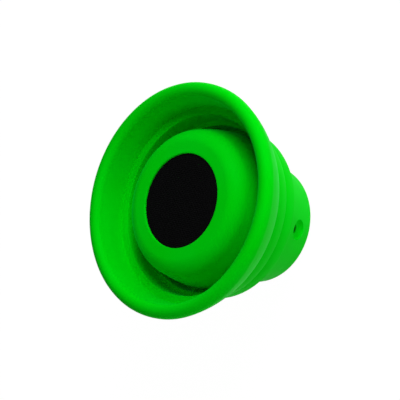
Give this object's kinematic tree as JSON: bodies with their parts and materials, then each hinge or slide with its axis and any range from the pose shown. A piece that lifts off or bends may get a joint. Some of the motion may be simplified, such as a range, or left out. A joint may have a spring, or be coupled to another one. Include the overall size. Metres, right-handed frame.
{
  "type": "shower speaker",
  "caption": "Waterproof shower speaker: a round speaker pod in a silicone sleeve, inside a horn of nested rings that folds back over the body, with a suction cup behind.",
  "frame": {"origin": "centre of the suction cup's contact plane, which is the lowest plane of the part", "axes": "+Z out of the horn's mouth along its axis, -Y through the charging jack, +Y through the play button"},
  "size_m": [0.0962, 0.0962, 0.0628],
  "materials": {
    "horn_silicone": "satin",
    "sleeve_silicone": "satin",
    "black_plastic": "matte",
    "woven_mesh": "matte",
    "soft_rubber": "matte",
    "cup_rubber": "satin",
    "steel": "satin",
    "paper_cone": "matte",
    "copper": "satin",
    "board_green": "satin",
    "component_black": "matte",
    "battery_foil": "satin",
    "clear_lens": "gloss"
  },
  "bodies": {
    "body": {"sleeve": "sleeve_silicone", "front_housing": "black_plastic", "rear_housing": "black_plastic", "housing_seal": "soft_rubber", "grille_mesh": "woven_mesh", "grille_guard": "black_plastic", "driver_gasket": "soft_rubber", "driver_basket": "steel", "driver_yoke": "steel", "driver_magnet": "steel", "driver_plate": "steel", "surround": "soft_rubber", "spider": "paper_cone", "main_board": "board_green", "board_screws": "steel", "bluetooth_module": "component_black", "amplifier": "component_black", "capacitors": "component_black", "battery": "battery_foil", "battery_pad": "soft_rubber", "charge_jack": "black_plastic", "flex_board": "board_green", "tact_switches": "component_black", "led_lens": "clear_lens", "suction_cup": "cup_rubber", "rear_web": "horn_silicone"},
    "rear_ring": {"rear_tier": "horn_silicone", "middle_web": "horn_silicone"},
    "middle_ring": {"middle_tier": "horn_silicone", "rim_web": "horn_silicone"},
    "rim_ring": {"rim_tier": "horn_silicone"},
    "cone": {"driver_cone": "paper_cone", "dust_cap": "paper_cone", "voice_coil": "copper"},
    "minus": {"minus_button": "sleeve_silicone"},
    "play": {"play_button": "sleeve_silicone"},
    "plus": {"plus_button": "sleeve_silicone"}
  },
  "joints": [
    {"name": "rear_fold", "type": "slide", "parent": "body", "child": "rear_ring", "axis": [0, 0, -1], "range_m": [0, 0.0078], "deforming": ["rear_web"]},
    {"name": "middle_fold", "type": "slide", "parent": "rear_ring", "child": "middle_ring", "axis": [0, 0, -1], "range_m": [0, 0.0078], "deforming": ["middle_web"]},
    {"name": "rim_fold", "type": "slide", "parent": "middle_ring", "child": "rim_ring", "axis": [0, 0, -1], "range_m": [0, 0.0078], "deforming": ["rim_web"]},
    {"name": "cone_excursion", "type": "slide", "parent": "body", "child": "cone", "axis": [0, 0, 1], "range_m": [-0.0008, 0.0008], "stiffness_N_per_m": 800, "deforming": ["surround", "spider"]},
    {"name": "minus_press", "type": "slide", "parent": "body", "child": "minus", "axis": [0.3635, -0.8997, 0.2416], "range_m": [0, 0.0005], "stiffness_N_per_m": 900},
    {"name": "play_press", "type": "slide", "parent": "body", "child": "play", "axis": [0, -0.9704, 0.2416], "range_m": [0, 0.0005], "stiffness_N_per_m": 900},
    {"name": "plus_press", "type": "slide", "parent": "body", "child": "plus", "axis": [-0.3635, -0.8997, 0.2416], "range_m": [0, 0.0005], "stiffness_N_per_m": 900}
  ]
}
